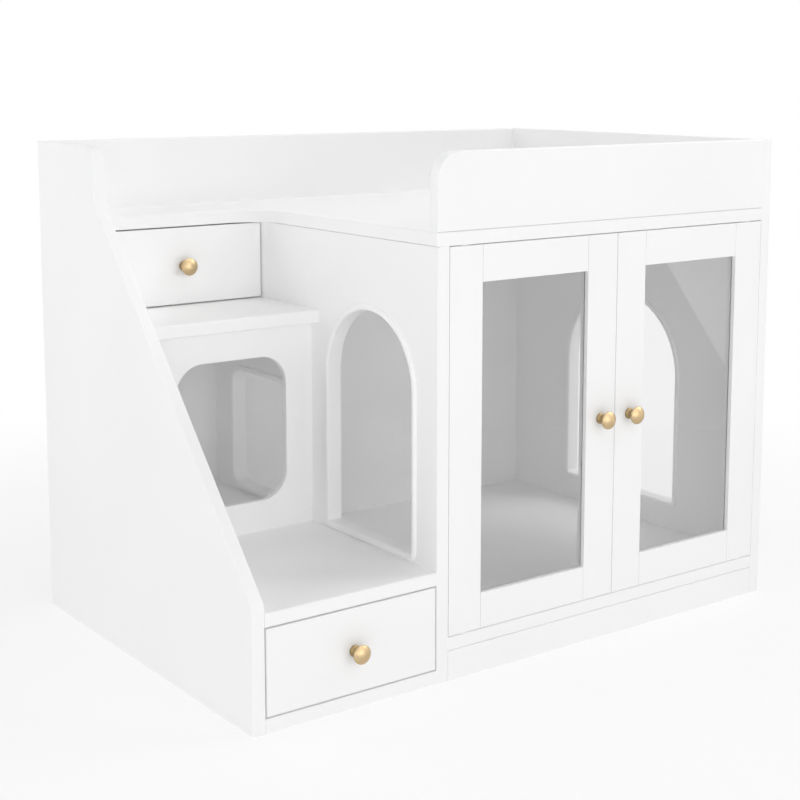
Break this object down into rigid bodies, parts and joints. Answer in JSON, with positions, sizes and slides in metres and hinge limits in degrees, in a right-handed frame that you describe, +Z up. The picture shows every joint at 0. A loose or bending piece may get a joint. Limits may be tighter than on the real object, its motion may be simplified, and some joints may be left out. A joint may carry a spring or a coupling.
{
  "type": "litter box enclosure",
  "caption": "White cat cabinet with glazed doors, arched openings, a guarded top deck and a side stair with drawers and a niche.",
  "frame": {"origin": "on the floor, under the middle of the whole outline with its knobs and side trim", "axes": "+X to the right along the width, +Y from the doors to the back, +Z up"},
  "size_m": [0.9036, 0.611, 0.692],
  "materials": {
    "white_board": "satin white lacquered board",
    "white_plastic": "moulded white plastic",
    "clear_pane": "clear flat pane",
    "satin_brass": "satin champagne brass",
    "zinc_steel": "bright zinc plated"
  },
  "bodies": {
    "cabinet": {"left_side_panel": "white_board", "centre_partition": "white_board", "right_side_panel": "white_board", "stair_back_panel": "white_board", "cabinet_back_panel": "white_board", "top_panel": "white_board", "cabinet_bottom_panel": "white_board", "front_plinth": "white_board", "rear_plinth": "white_board", "stair_base_panel": "white_board", "lower_step": "white_board", "upper_step": "white_board", "stair_riser": "white_board", "front_guard": "white_board", "back_guard": "white_board", "stair_arch_trim": "white_plastic", "side_arch_trim": "white_plastic", "pass_through_trim": "white_plastic", "pivot_bushes": "white_plastic", "door_catch": "white_plastic", "catch_magnets": "zinc_steel", "lower_drawer_tracks": "zinc_steel", "upper_drawer_tracks": "zinc_steel"},
    "left_door": {"left_door_hinge_stile": "white_board", "left_door_lock_stile": "white_board", "left_door_top_rail": "white_board", "left_door_bottom_rail": "white_board", "left_door_pane": "clear_pane", "left_door_glazing_beads": "white_plastic", "left_door_pivot_pins": "zinc_steel", "left_door_knob": "satin_brass", "left_door_knob_screw": "zinc_steel", "left_door_strike_plate": "zinc_steel"},
    "right_door": {"right_door_hinge_stile": "white_board", "right_door_lock_stile": "white_board", "right_door_top_rail": "white_board", "right_door_bottom_rail": "white_board", "right_door_pane": "clear_pane", "right_door_glazing_beads": "white_plastic", "right_door_pivot_pins": "zinc_steel", "right_door_knob": "satin_brass", "right_door_knob_screw": "zinc_steel", "right_door_strike_plate": "zinc_steel"},
    "lower_drawer": {"lower_drawer_front": "white_board", "lower_drawer_sides": "white_board", "lower_drawer_back": "white_board", "lower_drawer_floor": "white_board", "lower_drawer_runners": "zinc_steel", "lower_drawer_knob": "satin_brass", "lower_drawer_knob_screw": "zinc_steel"},
    "upper_drawer": {"upper_drawer_front": "white_board", "upper_drawer_sides": "white_board", "upper_drawer_back": "white_board", "upper_drawer_floor": "white_board", "upper_drawer_runners": "zinc_steel", "upper_drawer_knob": "satin_brass", "upper_drawer_knob_screw": "zinc_steel"}
  },
  "joints": [
    {"name": "left_door_hinge", "type": "hinge", "parent": "cabinet", "child": "left_door", "pos_m": [-0.12875, -0.274, 0.316], "axis": [0, 0, -1], "range_deg": [0, 95]},
    {"name": "right_door_hinge", "type": "hinge", "parent": "cabinet", "child": "right_door", "pos_m": [0.40225, -0.274, 0.316], "axis": [0, 0, 1], "range_deg": [0, 95]},
    {"name": "lower_drawer_slide", "type": "slide", "parent": "cabinet", "child": "lower_drawer", "axis": [0, -1, 0], "range_m": [0, 0.3]},
    {"name": "upper_drawer_slide", "type": "slide", "parent": "cabinet", "child": "upper_drawer", "axis": [0, -1, 0], "range_m": [0, 0.085]}
  ]
}
